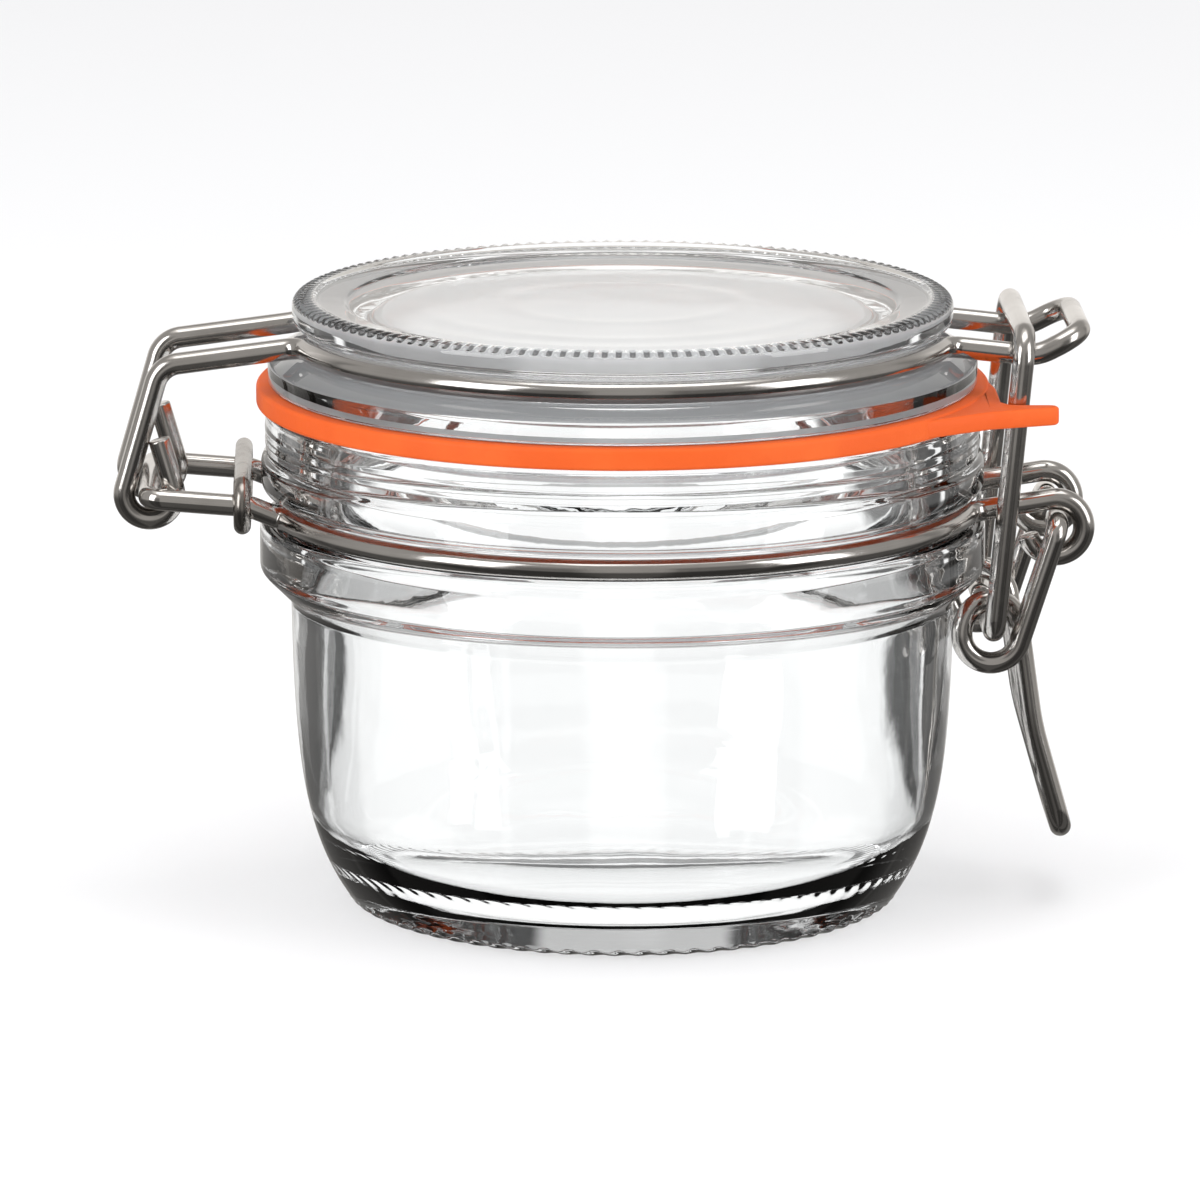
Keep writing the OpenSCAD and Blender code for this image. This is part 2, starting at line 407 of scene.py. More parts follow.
def softened(outline: Array, width: float, rows: int) -> Array:
    """Rounds every corner of an outline that starts and ends on the axis.

    The outline is walked in steps of 0.04 mm and each point becomes the
    Gaussian average of its neighbours, mirrored across the axis at the ends.
    The rows are then even in (length / 2.2 mm + turning / 9 degrees).

    Args:
        outline: (r, z) points.
        width: standard deviation of the average.
        rows: number of points wanted.

    Returns:
        The rounded (r, z) points.
    """
    pace = 0.04
    walked = distances(outline)
    fine = np.arange(0.0, walked[-1], pace)
    walk = np.stack([np.interp(fine, walked, outline[:, k]) for k in (0, 1)], axis=-1)
    reach = int(4 * width / pace)
    across = np.array([-1.0, 1.0])
    before, after = walk[reach:0:-1] * across, walk[-2 : -reach - 2 : -1] * across
    padded = np.vstack([before, walk, after])
    bell = np.exp(-0.5 * (np.arange(-reach, reach + 1) * pace / width) ** 2)
    bell /= bell.sum()
    columns = [np.convolve(padded[:, k], bell, "valid") for k in (0, 1)]
    smooth = np.stack(columns, axis=-1)
    along = np.diff(smooth, axis=0)
    aim = np.unwrap(np.arctan2(along[:, 1], along[:, 0]))
    turning = np.abs(np.diff(aim, prepend=aim[0]))
    effort = np.linalg.norm(along, axis=1) / 2.2 + turning / math.radians(9)
    effort = np.r_[0.0, np.cumsum(effort)]
    even = np.linspace(0.0, effort[-1], rows)
    result = np.stack([np.interp(even, effort, smooth[:, k]) for k in (0, 1)], axis=-1)
    result[[0, -1], 0] = 0.0
    return result


def ring_faces(rings: Array) -> list[list[int]]:
    """Quads between closed rings of vertex numbers, one ring a row."""
    ahead = np.roll(rings, -1, axis=1)
    quads = np.stack([rings[:-1], ahead[:-1], ahead[1:], rings[1:]], axis=-1)
    return quads.reshape(-1, 4).tolist()


def stitch_faces(lower: Array, upper: Array) -> list[list[int]]:
    """Faces that join two rings, one of which may have more segments.

    Each segment of the coarser ring makes one face with the segments of the
    finer ring that stand against it.
    """
    coarse = min(len(lower), len(upper))
    halves = []
    for ring in (lower, upper):
        ratio = len(ring) // coarse
        start = np.arange(coarse)[:, None] * ratio
        halves.append(ring[(start + np.arange(ratio + 1)) % len(ring)])
    return np.hstack([halves[0], halves[1][:, ::-1]]).tolist()


def end_faces(first: Array, pole: int, outward: bool) -> list[list[int]]:
    """Triangles from a ring to a pole, facing on along the rings or back."""
    ahead = np.roll(first, -1)
    tip = np.full(len(first), pole)
    order = [first, ahead, tip] if outward else [ahead, first, tip]
    return np.stack(order, axis=-1).tolist()


def turned(bands: Sequence[Band]) -> Shell:
    """Turns an outline that starts and ends on the axis.

    A point of the outline at (r, z) becomes (r cos a, r sin a, z) for every
    angle a. Relief moves it along the outline's outward normal.

    Args:
        bands: rows of the outline in order, without the two poles' points
            repeated.

    Returns:
        The closed shell.
    """
    points = [np.array([[0.0, 0.0, bands[0].outline[0, 1]]])]
    faces: list[list[int]] = []
    count = 1
    last: Array | None = None
    for index, band in enumerate(bands):
        rows = band.outline[1 if index == 0 else 0 :]
        rows = rows[: -1 if index == len(bands) - 1 else None]
        spoke = spokes(np.arange(band.segments) * 360.0 / band.segments)
        r, z = rows[:, :1], rows[:, 1:]
        if band.relief is not None:
            slope = np.gradient(rows, axis=0)
            slope /= np.linalg.norm(slope, axis=1, keepdims=True)
            place = np.linspace(0.0, 1.0, len(rows))[:, None]
            angle = np.linspace(0.0, math.tau, band.segments, endpoint=False)
            lift = band.relief(place, angle)
            r, z = r + slope[:, 1:] * lift, z - slope[:, :1] * lift
        shape = (len(rows), band.segments)
        columns = [r * spoke[:, 0], r * spoke[:, 1], np.broadcast_to(z, shape)]
        points.append(np.stack(columns, axis=-1).reshape(-1, 3))
        rings = count + np.arange(shape[0] * shape[1]).reshape(shape)
        count += rings.size
        if last is None:
            faces += end_faces(rings[0], 0, False)
        else:
            faces += stitch_faces(last, rings[0])
        faces += ring_faces(rings)
        last = rings[-1]
    points.append(np.array([[0.0, 0.0, bands[-1].outline[-1, 1]]]))
    faces += end_faces(last, count, True)
    return Shell(np.vstack(points), faces)


def heading(degrees: float) -> Array:
    """Unit vector in the X-Z plane, at an angle up from +X."""
    x, z = spokes(np.array(degrees))
    return np.array([x, 0.0, z])


def unit(vector: Array) -> Array:
    """A vector with length one."""
    return vector / np.linalg.norm(vector)


def swing(start: Array, aim: Array, centre: Array, degrees: float) -> Array:
    """Circular arc: centre + cos(t) spoke + sin(t) |spoke| aim.

    Args:
        start: first point.
        aim: unit direction of travel at the start.
        centre: centre of the arc.
        degrees: angle turned.

    Returns:
        Points at most 5 degrees and 1.2 mm apart.
    """
    spoke = start - centre
    radius = np.linalg.norm(spoke)
    angle = math.radians(degrees)
    steps = 1 + math.ceil(max(degrees / 5, angle * radius / 1.2))
    turn = np.linspace(0.0, angle, steps)[:, None]
    return centre + np.cos(turn) * spoke + np.sin(turn) * radius * aim


def bent(points: Sequence[Array], radii: Sequence[float]) -> Array:
    """Straights through points, with an arc of a given radius at each corner.

    Args:
        points: start, corners and end.
        radii: bend radius of each corner.

    Returns:
        Points along the path.
    """
    parts = [points[0][None]]
    for before, here, after, radius in zip(points, points[1:], points[2:], radii):
        come, go = unit(here - before), unit(after - here)
        angle = math.acos(np.clip(come @ go, -1, 1))
        cut = radius * math.tan(angle / 2)
        start = here - come * cut
        inward = unit(go - come * (come @ go))
        parts.append(swing(start, come, start + radius * inward, math.degrees(angle)))
    return np.vstack([*parts, points[-1][None]])


def joined(parts: Sequence[Array]) -> Array:
    """Paths end to end, with repeated points left out."""
    path = np.vstack(parts)
    keep = np.r_[True, np.linalg.norm(np.diff(path, axis=0), axis=1) > 0.02]
    return path[keep]


def drawn(path: Array, radius: float, sides: int = 40) -> Shell:
    """Carries a circle along a path, with softly broken ends.

    A point is path + radius (cos a N + sin a B). N and B turn with the path
    and never about it: the angle by which each step's own axes have to be
    turned back is summed along the path.

    Args:
        path: points of the centreline.
        radius: of the wire.
        sides: points round it.

    Returns:
        The closed shell, with the lay (length, cos a, sin a) on its points.
    """
    walked = distances(path)
    aim = np.gradient(path, walked, axis=0)
    aim /= np.linalg.norm(aim, axis=1, keepdims=True)
    broken, rows = 0.22 * radius, 6
    round_off = spokes(np.linspace(90, 0, rows))
    depth = broken - broken * round_off[:, 1:]
    first_end, last_end = path[:1] + aim[:1] * depth, path[-1:] - aim[-1:] * depth[::-1]
    centre = np.vstack([first_end, path[1:-1], last_end])
    taper = radius - broken + broken * round_off[:, 0]
    thick = np.r_[taper, np.full(len(path) - 2, radius), taper[::-1]]
    ends = [np.repeat(aim[end], rows, axis=0) for end in (slice(1), slice(-1, None))]
    aim = np.vstack([ends[0], aim[1:-1], ends[1]])
    helper = np.where(np.abs(aim[:, 1:2]) < 0.9, [[0.0, 1.0, 0.0]], [[1.0, 0.0, 0.0]])
    first = np.cross(helper, aim)
    first /= np.linalg.norm(first, axis=1, keepdims=True)
    second = np.cross(aim, first)
    share = np.sum(first[:-1] * aim[1:], axis=1)
    share /= 1 + np.sum(aim[:-1] * aim[1:], axis=1)
    moved = first[:-1] - share[:, None] * (aim[:-1] + aim[1:])
    across, along = (np.sum(moved * axis[1:], axis=1) for axis in (second, first))
    slip = np.arctan2(across, along)
    twist = np.r_[0.0, np.cumsum(slip)][:, None]
    normal = np.cos(twist) * first + np.sin(twist) * second
    other = np.cross(aim, normal)
    spoke = spokes(np.arange(sides) * 360.0 / sides)
    around = spoke[None, :, :1] * normal[:, None] + spoke[None, :, 1:] * other[:, None]
    grid = centre[:, None] + thick[:, None, None] * around
    length = np.broadcast_to(distances(centre)[:, None], grid.shape[:2])
    circle = np.broadcast_to(spoke, (*grid.shape[:2], 2))
    lay = np.concatenate([length[..., None], circle], axis=-1).reshape(-1, 3)
    rings = np.arange(grid.shape[0] * sides).reshape(-1, sides)
    faces = ring_faces(rings)
    faces += end_faces(rings[0], rings.size, False)
    faces += end_faces(rings[-1], rings.size + 1, True)
    points = np.vstack([grid.reshape(-1, 3), centre[:1], centre[-1:]])
    return Shell(points, faces, np.vstack([lay, [[0, 0, 0]], [[length[-1, 0], 0, 0]]]))


def mirrored(right: Array, left: Array) -> Array:
    """A path out of one half and the mirror image of the other."""
    return joined([right, (left * MIRROR_Y)[::-1]])


# --- sub-assemblies ---


class Side(Enum):
    """The side of the jar that a strand of wire leaves a ring on."""

    LATCH = 1.0
    HINGE = -1.0


@dataclass
class WireRing:
    """A wire ring round the glass, and how its strands leave it."""

    radius: float
    height: float
    lead: float = 2.4

    def _strand_x(self, y: float) -> float:
        """Distance from the axis at which a strand at y turns off the ring."""
        return math.sqrt(self.radius**2 + self.lead**2 - y**2)

    def angle(self, y: float, side: Side) -> float:
        """Angle round the ring, in degrees, where the strand at y leaves it."""
        strand = math.atan2(y, self._strand_x(y))
        off = math.degrees(strand + math.atan(self.lead / self.radius))
        return off if side is Side.LATCH else 180.0 - off

    def leave(self, y: float, side: Side) -> Array:
        """Point at which the strand at y leaves the ring."""
        x, along = self.radius * spokes(np.array(self.angle(y, side)))
        return np.array([x, along, self.height])

    def turn(self, y: float, side: Side) -> Array:
        """Corner from which the strand at y runs straight out."""
        return np.array([side.value * self._strand_x(y), y, self.height])

    def half(self, hinge_y: float, latch_y: float) -> Array:
        """The ring's half from the hinge side's strand to the latch side's."""
        first, last = self.angle(hinge_y, Side.HINGE), self.angle(latch_y, Side.LATCH)
        spoke = spokes(np.linspace(first, last, 130)) * self.radius
        return np.column_stack([spoke, np.full(130, self.height)])


@dataclass
class GlassBody:
    """Pressed glass body: foot, wall, shoulder ring, collar groove and lip."""

    body_h: float = 55.9
    body_r: float = 36.9
    foot_r: float = 28.0
    foot_round: float = 1.2
    flare: float = 7.0
    flare_h: float = 8.5
    punt_r: float = 24.5
    punt_h: float = 1.2
    shoulder_r: float = 40.2
    flank: tuple[float, float] = (34.2, 38.2)
    ring_edge: float = 0.8
    groove: tuple[float, float] = (43.4, 46.4)
    groove_r: float = 37.45
    neck_r: float = 40.0
    neck_top: float = 50.8
    lip_r: float = 39.5
    lip_round: float = 0.6
    bead_z: tuple[float, float] = (52.1, 53.5)
    bead_h: float = 0.12
    mouth_r: float = 33.2
    inner_swell: tuple[tuple[float, float], ...] = (
        (0, 50.8), (0.7, 43), (2.2, 38), (2.1, 37.2), (0.2, 34.8), (0, 33.9),
    )
    floor_z: float = 4.0
    floor_round: float = 8.5
    ridges: int = 70
    segments: int = 280

    def _wall(self, z: Array) -> Array:
        """Outside radius: body_r - flare exp(-z / flare_h)."""
        return self.body_r - self.flare * np.exp(-z / self.flare_h)

    def _outline(self) -> Array:
        """Whole outline, from the punt out, up, in and down to the floor."""
        across = np.linspace(0.0, self.punt_r, 24)
        punt = [across, self.punt_h * (1 - (across / self.punt_r) ** 2)]
        quarter = spokes(np.linspace(-90, 0, 12))
        reach = self._wall(self.foot_round) - self.foot_r
        foot = [
            self.foot_r + reach * quarter[:, 0],
            self.foot_round * (1 + quarter[:, 1]),
        ]
        start, end = self.flank
        edge = self.ring_edge
        up = np.linspace(self.foot_round, start, 50)[1:]
        round_off = self.lip_round
        rim = self.body_h - round_off
        lip = np.linspace(self.neck_top + 0.6, self.body_h - self.lip_round, 60)
        beads = sum(np.exp(-(((lip - z) / 0.28) ** 2)) for z in self.bead_z)
        inner = self.mouth_r - self.floor_round
        low, high = self.groove
        parts = [
            np.column_stack(punt),
            np.column_stack(foot),
            np.column_stack([self._wall(up), up]),
            np.array([[self.body_r + 0.4, start + 0.8]]),
            corner(self.shoulder_r - edge, end, edge, -45, 0),
            corner(self.shoulder_r - 1.2, low - 1.2, 1.2, 0, 90),
            np.array([[self.groove_r, low], [self.groove_r, high]]),
            corner(self.neck_r - 1.2, high + 1.2, 1.2, -90, 0),
            corner(self.neck_r - 1.2, self.neck_top - 1.2, 1.2, 0, 60),
            np.column_stack([self.lip_r + self.bead_h * beads, lip]),
            corner(self.lip_r - round_off, rim, round_off, 0, 90),
            corner(self.mouth_r + round_off, rim, round_off, 90, 180),
            np.array(self.inner_swell) + np.array([self.mouth_r, 0.0]),
            corner(inner, self.floor_z + self.floor_round, self.floor_round, 0, -90),
            np.array([[0.0, self.floor_z]]),
        ]
        return np.vstack(parts)

    def _knurl(self, place: Array, angle: Array) -> Array:
        """Ridges: 0.1 sin(pi s)^2 (cos(ridges a + 4 s) - 1), s up the band."""
        slanted = np.cos(self.ridges * angle + 4 * place) - 1
        return 0.1 * np.sin(math.pi * place) ** 2 * slanted

    def build(self, glass: bpy.types.Material) -> bpy.types.Object:
        """Turns the body and sets it on the jar.

        Args:
            glass: the finish.

        Returns:
            The body.
        """
        rows = softened(self._outline(), 0.2, 236)
        outer = (rows[:, 0] > self.foot_r - 2.6) & (rows[:, 1] < 1.5)
        first, last = np.flatnonzero(outer)[[0, -1]]
        coarse = self.segments
        shell = turned(
            [
                Band(rows[:first], coarse),
                Band(rows[first : last + 1], 4 * coarse, self._knurl),
                Band(rows[last + 1 :], coarse),
            ]
        )
        body = shell.piece("glass_body", glass)
        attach(body, "jar")
        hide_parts("jar_body")
        return body


@dataclass
class GlassLid:
    """Pressed glass lid: plug, flange, wire groove, rim and knurled crest."""

    flange_z: float = 58.45
    top_z: float = 68.0
    plug_r: float = 31.4
    plug_h: float = 5.5
    hollow_r: float = 27.9
    flange_r: float = 39.2
    edge: float = 0.4
    groove: tuple[float, float] = (62.4, 65.0)
    groove_r: float = 34.9
    rim_r: float = 36.5
    panel_r: float = 30.4
    panel_z: float = 67.05
    ring_r: tuple[float, float, float] = (27.6, 22.4, 12.5)
    teeth: int = 150
    segments: int = 300

    def _outline(self) -> Array:
        """Whole outline, from the hollow out, up and in to the panel."""
        inner = np.linspace(0.0, self.hollow_r - 1.2, 24)
        roof = self.flange_z + 3.2 - 0.8 * (inner / (self.hollow_r - 1.2)) ** 2
        low = self.flange_z - self.plug_h + 0.7
        seat, shelf = self.groove
        panel = np.linspace(self.panel_r, 0.0, 220)
        waves = sum(np.exp(-(((panel - r) / 1.1) ** 2)) for r in self.ring_r)
        edge = self.edge
        parts = [
            np.column_stack([inner, roof]),
            np.array([[self.hollow_r - 0.3, self.flange_z + 1.2]]),
            corner(self.hollow_r + 0.7, low, 0.7, 180, 270),
            corner(self.plug_r - 0.7, low, 0.7, -90, 0),
            np.array([[self.plug_r, self.flange_z]]),
            corner(self.flange_r - edge, self.flange_z + edge, edge, -90, 0),
            corner(self.flange_r - edge, self.flange_z + 2.3, edge, 0, 60),
            np.array([[self.rim_r + 0.4, seat - 0.2]]),
            np.array([[self.groove_r, seat], [self.groove_r, shelf]]),
            corner(self.rim_r - 0.9, shelf + 0.9, 0.9, -90, 0),
            corner(self.rim_r - 1.0, self.top_z - 1.0, 1.0, 0, 80),
            np.array([[34.2, self.top_z], [33.6, self.top_z - 0.3], [30.7, 67.35]]),
            np.column_stack([panel, self.panel_z + 0.07 * waves]),
        ]
        return np.vstack(parts)

    def _knurl(self, place: Array, angle: Array) -> Array:
        """Teeth: 0.22 (cos(teeth a) - 1) sin(pi s), s across the band."""
        return 0.22 * (np.cos(self.teeth * angle) - 1) * np.sin(math.pi * place)

    def build(self, glasses: Sequence[bpy.types.Material]) -> bpy.types.Object:
        """Turns the lid and sets it on the lid assembly.

        Args:
            glasses: finishes of the whole, with painted shade in the valleys of
            its teeth, of the hollow's roof, with a pale colour painted in for light,
            and of the seat that presses on the rubber, with painted shade.

        Returns:
            The lid.
        """
        rows = softened(self._outline(), 0.16, 200)
        crest = (np.abs(rows[:, 0] - 35.3) < 1.1) & (rows[:, 1] > self.top_z - 0.9)
        first, last = np.flatnonzero(crest)[[0, -1]]
        shell = turned(
            [
                Band(rows[:first], self.segments),
                Band(rows[first : last + 1], 4 * self.segments, self._knurl),
                Band(rows[last + 1 :], self.segments),
            ]
        )
        lid = shell.piece("glass_lid", glasses[0])
        for other in glasses[1:]:
            lid.data.materials.append(other)
        count = len(lid.data.polygons)
        middles = np.empty(count * 3)
        lid.data.polygons.foreach_get("center", middles)
        middles = middles.reshape(-1, 3) / MM
        reach = np.hypot(middles[:, 0], middles[:, 1])
        # The roof faces take the pale painted light and the seat faces take the painted
        # shade.
        roof = (middles[:, 2] < self.flange_z + 3.4) & (reach < self.hollow_r - 0.6)
        seat = (middles[:, 2] < self.flange_z + 0.1) & (np.abs(reach - 35.2) < 3.6)
        index = roof.astype(np.int32) + 2 * seat.astype(np.int32)
        lid.data.polygons.foreach_set("material_index", index)
        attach(lid, "lid_assembly")
        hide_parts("lid")
        return lid


@dataclass
class RubberRing:
    """Orange rubber gasket with its pull tab."""

    inner_r: float = 31.7
    outer_r: float = 40.5
    low: float = 56.0
    high: float = 58.4
    edge: float = 0.5
    tab_t: float = 2.0
    tab_edge: float = 0.4
    tab_centre: tuple[float, float] = (39.5, -16.8)
    tab_corners: tuple[tuple[float, float], ...] = (
        (36, 0), (30, -22), (31.2, -25.2), (39.4, -19.4), (47.0, -16.85),
        (47.2, -15.65), (46.6, -14.95), (42.1, -14.95), (41.0, -13.2), (41.0, -4.5),
        (39.8, 4.6),
    )

    def _ring(self) -> Shell:
        """Rounded rectangle carried round the axis."""
        inner, outer, edge = self.inner_r, self.outer_r, self.edge
        section = np.vstack(
            [
                corner(inner + edge, self.low + edge, edge, 180, 270),
                np.array([[(inner + outer) / 2, self.low]]),
                corner(outer - edge, self.low + edge, edge, -90, 0),
                corner(outer - edge, self.high - edge, edge, 0, 90),
                np.array([[(inner + outer) / 2, self.high]]),
                corner(inner + edge, self.high - edge, edge, 90, 180),
            ]
        )
        spoke = spokes(np.arange(300) * 1.2)
        columns = [section[:, :1] * spoke[:, 0], section[:, :1] * spoke[:, 1]]
        height = np.broadcast_to(section[:, 1:], columns[0].shape)
        grid = np.stack([*columns, height], axis=-1)
        rings = np.arange(grid.shape[0] * 300).reshape(-1, 300)
        faces = ring_faces(np.vstack([rings, rings[:1]]))
        return Shell(grid.reshape(-1, 3), faces)

    def _tab(self) -> Shell:
        """Flat tab: a closed outline with rounded corners and a rounded rim.

        The outline is the Gaussian average of its polygon. The rim is inset
        by edge (1 - cos f) as it turns from the underside to the top side.
        """
        corners = np.array(self.tab_corners, float)
        closed = np.vstack([corners, corners[:1]])
        walked = distances(closed)
        count = 400
        even = np.linspace(0.0, walked[-1], count, endpoint=False)
        columns = [np.interp(even, walked, closed[:, k]) for k in (0, 1)]
        loop = np.stack(columns, axis=-1)
        offset = np.fft.fftfreq(count) * walked[-1]
        bell = np.exp(-0.5 * (offset / 0.45) ** 2)
        bell /= bell.sum()
        freed = np.fft.fft(bell)[:, None]
        loop = np.real(np.fft.ifft(np.fft.fft(loop, axis=0) * freed, axis=0))
        along = np.roll(loop, -1, axis=0) - np.roll(loop, 1, axis=0)
        along /= np.linalg.norm(along, axis=1, keepdims=True)
        inward = np.stack([-along[:, 1], along[:, 0]], axis=-1)
        centre = np.array(self.tab_centre)
        half, edge = self.tab_t / 2, self.tab_edge
        middle = (self.low + self.high) / 2
        rim = loop + inward * edge
        rows = [centre + (rim - centre) * share for share in (0.35, 0.7, 0.9)]
        heights = [-half] * 3
        for tilt in np.linspace(-90, 90, 13):
            x, z = spokes(np.array(tilt))
            rows.append(loop + inward * edge * (1 - x))
            heights.append((half - edge) * np.sign(z) + edge * z if tilt else 0.0)
        rows += [centre + (rim - centre) * share for share in (0.9, 0.7, 0.35)]
        heights += [half] * 3
        flat = np.stack(rows)
        tall = np.broadcast_to(np.array(heights)[:, None, None], (*flat.shape[:2], 1))
        grid = np.concatenate([flat, tall + middle], axis=-1)
        rings = np.arange(grid.shape[0] * count).reshape(-1, count)
        poles = np.array([[*centre, middle - half], [*centre, middle + half]])
        faces = end_faces(rings[0], rings.size, False) + ring_faces(rings)
        faces += end_faces(rings[-1], rings.size + 1, True)
        return Shell(np.vstack([grid.reshape(-1, 3), poles]), faces)

    def build(self, rubber: bpy.types.Material) -> bpy.types.Object:
        """Makes the gasket and sets it under the lid.

        Args:
            rubber: the finish.

        Returns:
            The gasket.
        """
        ring = (self._ring() + self._tab()).piece("rubber_ring", rubber)
        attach(ring, "lid_assembly")
        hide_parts("gasket")
        return ring


@dataclass
class Hinge:
    """Lid wire, collar wire and the clip on the collar wire's strands."""

    wire_r: float = 1.2
    bar: tuple[float, float] = (-52.2, 47.4)
    lid_ring: WireRing = field(default_factory=lambda: WireRing(36.2, 63.7))
    collar_ring: WireRing = field(default_factory=lambda: WireRing(38.75, 44.9))
    nose_y: float = 9.2
    hook_y: float = 8.1
    bar_y: float = 10.8
    eye_y: float = 8.0
    hook_r: float = 2.75
    eye_r: float = 3.15
    eye: tuple[float, float] = (47.45, 43.15)
    knee: tuple[float, float] = (-50.9, 61.7)
    tails: tuple[float, float] = (6.6, 5.6)
    clip: tuple[float, float, float] = (-42.0, 0.0, 46.7)
    clip_r: float = 0.95

    def _hook(self, tail: float) -> Array:
        """Tail, hook round the hinge bar and strand up to the lid's ring."""
        y = self.hook_y
        centre = np.array([self.bar[0], y, self.bar[1]])
        knee = np.array([self.knee[0], y, self.knee[1]])
        drop = centre - knee
        tilt = math.asin(self.hook_r / np.linalg.norm(drop))
        fall = math.degrees(math.atan2(drop[2], drop[0]) - tilt)
        rise = 106.0
        free = centre + self.hook_r * heading(rise - 90)
        ring = self.lid_ring
        touch = centre + self.hook_r * heading(fall - 90)
        strand = [touch, knee, ring.turn(y, Side.HINGE), ring.leave(y, Side.HINGE)]
        return joined(
            [
                (free + tail * heading(rise))[None],
                swing(free, heading(rise + 180), centre, rise - fall),
                bent(strand, [3.0, 2.6]),
            ]
        )

    def _lid_half(self, tail: float) -> Array:
        """Half of the lid wire, from its tail to the middle of its nose."""
        y, ring = self.nose_y, self.lid_ring
        nose = [
            ring.leave(y, Side.LATCH),
            ring.turn(y, Side.LATCH),
            np.array([45.2, y, 62.55]),
            np.array([50.0, y, 65.0]),
            np.array([50.0, 0.0, 65.0]),
        ]
        around = ring.half(self.hook_y, y)
        return joined([self._hook(tail), around, bent(nose, [2.6, 5.0, 3.0])])

    def _collar_half(self) -> Array:
        """Half of the collar wire, from its eye's end to its hinge bar."""
        ring, y = self.collar_ring, self.eye_y
        centre = np.array([self.eye[0], y, self.eye[1]])
        start = centre + self.eye_r * heading(97)
        eye = swing(start, heading(7), centre, 262)[::-1]
        out = [start, ring.turn(y, Side.LATCH), ring.leave(y, Side.LATCH)]
        back = [
            ring.leave(self.bar_y, Side.HINGE),
            ring.turn(self.bar_y, Side.HINGE),
            np.array([-41.2, self.bar_y, 46.5]),
            np.array([self.bar[0], self.bar_y, self.bar[1]]),
            np.array([self.bar[0], 0.0, self.bar[1]]),
        ]
        around = ring.half(self.bar_y, y)[::-1]
        return joined([eye, bent(out, [2.6]), around, bent(back, [1.6, 3.0, 1.5])])

    def _clip_path(self) -> Array:
        """Flattened ring whose two ends meet underneath."""
        tall = self.wire_r + self.clip_r + 0.15
        wide = self.bar_y + 0.1
        middle = np.array(self.clip)
        below = middle + np.array([0.0, 0.0, -tall])
        above = middle + np.array([0.0, 0.0, tall])
        across = np.array([0.0, wide, 0.0])
        forth = np.array([0.0, 1.0, 0.0])
        return joined(
            [
                (below + forth * 0.05)[None],
                swing(below + across, forth, middle + across, 180),
                swing(above - across, -forth, middle - across, 180),
                (below - forth * 0.05)[None],
            ]
        )

    def build(
        self, steel: bpy.types.Material, dull: bpy.types.Material
    ) -> list[bpy.types.Object]:
        """Makes the three wires of the hinge side.

        Args:
            steel: finish of the closure wires.
            dull: finish of the clip.

        Returns:
            Lid wire, collar wire and clip.
        """
        lid_path = mirrored(*(self._lid_half(tail) for tail in self.tails))
        half = self._collar_half()
        collar, clip = mirrored(half, half), self._clip_path()
        plan = [
            ("lid_bail", lid_path, self.wire_r, steel, "lid_assembly", "lid_wire"),
            ("collar_bail", collar, self.wire_r, steel, "jar", "collar_wire"),
            ("strand_clip", clip, self.clip_r, dull, "jar", "hinge_clip"),
        ]
        return [place_wire(*entry) for entry in plan]


@dataclass
class Latch:
    """Lever with its coil eyes and handle, and the link over the nose."""

    wire_r: float = 1.2
    pivot: tuple[float, float] = (47.6, 43.75)
    coil: tuple[float, float] = (40.3, 31.7)
    coil_r: float = 3.25
    leave: float = 8.0
    stub_y: float = 6.3
    arm_y: float = 10.7
    handle_y: float = 8.0
    reach: float = 11.4
    tip: tuple[float, float, float] = (48.6, 7.3, 8.6)
    link_foot: tuple[float, float] = (40.45, 32.3)
    link_top: tuple[float, float] = (43.6, 65.35)
    link_y: float = 13.35
    link_stub_y: float = 6.5

    def _lever_half(self) -> Array:
        """Stub, arm, coil eye and handle up to the middle of its tip."""
        pivot = np.array([self.pivot[0], 0.0, self.pivot[1]])
        coil = np.array([self.coil[0], 0.0, self.coil[1]])
        outer = np.array([0.0, self.arm_y, 0.0])
        inner = np.array([0.0, self.handle_y, 0.0])
        drop = coil - pivot
        tilt = math.asin(self.coil_r / np.linalg.norm(drop))
        fall = math.degrees(math.atan2(drop[2], drop[0]) + tilt)
        touch = coil + self.coil_r * heading(fall + 90) + outer
        back = coil - self.coil_r * heading(self.leave) + outer
        front = coil + self.coil_r * heading(self.leave) + inner
        bow = front + self.reach * heading(self.leave - 90)
        tip = np.array(self.tip)
        stub = pivot + np.array([0.0, self.stub_y, 0.0])
        return joined(
            [
                bent([stub, pivot + outer, touch], [1.7]),
                swing(touch, heading(fall), coil + outer, fall + 270 - self.leave),
                swing(back, heading(self.leave + 90), (back + front) / 2, 180),
                bent([front, bow, tip, tip * np.array([1, 0, 1])], [30.0, 3.0]),
            ]
        )

    def _link_half(self) -> Array:
        """Stub, side and half of the bar."""
        foot = np.array([self.link_foot[0], self.link_stub_y, self.link_foot[1]])
        top = np.array([self.link_top[0], self.link_y, self.link_top[1]])
        corner_low = np.array([foot[0], self.link_y, foot[2]])
        return bent([foot, corner_low, top, top * np.array([1, 0, 1])], [1.7, 3.0])

    def build(self, steel: bpy.types.Material) -> list[bpy.types.Object]:
        """Makes the lever and the link.

        Args:
            steel: finish of the wires.

        Returns:
            Lever and link.
        """
        halves = self._lever_half(), self._link_half()
        lever, link = (mirrored(half, half) for half in halves)
        plan = [
            ("latch_lever", lever, self.wire_r, steel, "lever", "lever"),
            ("latch_link", link, self.wire_r, steel, "link", "link"),
        ]
        return [place_wire(*entry) for entry in plan]


def place_wire(
    name: str,
    path: Array,
    radius: float,
    steel: bpy.types.Material,
    body: str,
    node: str,
) -> bpy.types.Object:
    """Draws a wire along its path and hands it to the frame.

    Args:
        name: name of the piece.
        path: its centreline.
        radius: of the wire.
        steel: its finish.
        body: body that it rides on.
        node: node that it stands for.

    Returns:
        The wire.
    """
    wire = drawn(path, radius).piece(name, steel)
    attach(wire, body)
    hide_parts(node)
    return wire


